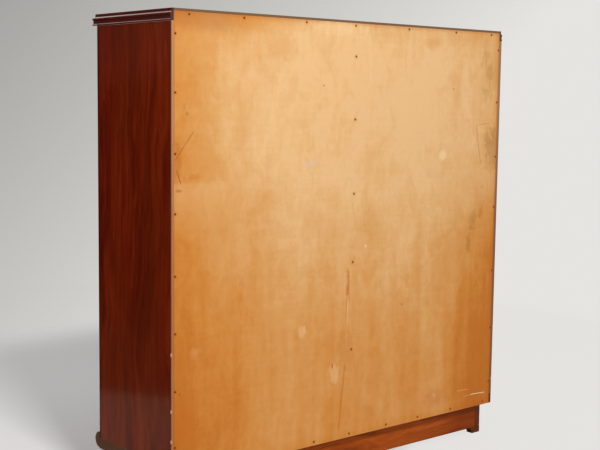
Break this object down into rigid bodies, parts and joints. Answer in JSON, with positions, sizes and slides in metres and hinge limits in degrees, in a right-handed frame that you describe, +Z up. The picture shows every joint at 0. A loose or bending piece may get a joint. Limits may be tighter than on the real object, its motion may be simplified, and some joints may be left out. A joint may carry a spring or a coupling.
{
  "type": "tambour door cabinet",
  "caption": "Free-standing storage cabinet with slatted tambour doors that slide round into its ends, adjustable shelves, a pinned ply back and a recessed plinth with bracket feet.",
  "frame": {"origin": "on the floor, in the middle of the overall width and depth", "axes": "+Z up, +X towards the right-hand end seen from the front, -Y towards the front where the doors are, +Y towards the ply back"},
  "size_m": [1.224, 0.3639, 1.26],
  "materials": {
    "mahogany": "old satin varnish",
    "inside_wood": "thin satin varnish",
    "ply": "bare, aged",
    "softwood": "bare",
    "canvas": "plain weave",
    "felt": "pressed",
    "brass": "aged satin",
    "steel": "dull"
  },
  "bodies": {
    "carcass": {"top_board": "mahogany", "bottom_board": "mahogany", "left_end": "mahogany", "right_end": "mahogany", "left_end_lipping": "mahogany", "right_end_lipping": "mahogany", "sill_moulding": "mahogany", "left_jamb": "mahogany", "right_jamb": "mahogany", "plinth_front_rail": "mahogany", "plinth_rear_rail": "mahogany", "plinth_left_rail": "mahogany", "plinth_right_rail": "mahogany", "front_left_foot": "mahogany", "front_right_foot": "mahogany", "rear_left_foot": "mahogany", "rear_right_foot": "mahogany", "left_slats": "mahogany", "right_slats": "mahogany", "centre_divider": "inside_wood", "left_inner_side": "inside_wood", "right_inner_side": "inside_wood", "left_shelf_1": "inside_wood", "left_shelf_2": "inside_wood", "left_shelf_3": "inside_wood", "right_shelf_1": "inside_wood", "right_shelf_2": "inside_wood", "right_shelf_3": "inside_wood", "back_panel": "ply", "left_false_back": "ply", "right_false_back": "ply", "carcass_dowels": "softwood", "plinth_cross_rail": "softwood", "plinth_corner_blocks": "softwood", "left_canvas": "canvas", "right_canvas": "canvas", "felt_buffers": "felt", "shelf_pegs": "brass", "back_pins": "steel", "plinth_screws": "steel"},
    "left_door": {"left_stile": "mahogany", "left_pull": "mahogany", "left_pull_screws": "steel", "strike_plate": "brass", "strike_screws": "steel"},
    "right_door": {"right_stile": "mahogany", "right_pull": "mahogany", "right_pull_screws": "steel", "lock_case": "brass", "lock_plate_screws": "steel", "escutcheon": "brass", "escutcheon_pins": "brass"},
    "key": {"key": "steel"},
    "hook": {"hook_bolt": "brass"}
  },
  "joints": [
    {"name": "left_door_slide", "type": "slide", "parent": "carcass", "child": "left_door", "axis": [-1, 0, 0], "range_m": [0, 0.5], "deforming": ["left_slats", "left_canvas"]},
    {"name": "right_door_slide", "type": "slide", "parent": "carcass", "child": "right_door", "axis": [1, 0, 0], "range_m": [0, 0.5], "deforming": ["right_slats", "right_canvas"]},
    {"name": "key_turn", "type": "hinge", "parent": "right_door", "child": "key", "pos_m": [0.0225, -0.1485, 0.566], "axis": [0, 1, 0], "range_deg": [0, 180]},
    {"name": "hook_swing", "type": "hinge", "parent": "right_door", "child": "hook", "pos_m": [0.0125, -0.1485, 0.582], "axis": [0, -1, 0], "range_deg": [0, 90]}
  ],
  "couplings": [
    {"joint": "hook_swing", "follows": "key_turn", "ratio": 0.5}
  ]
}
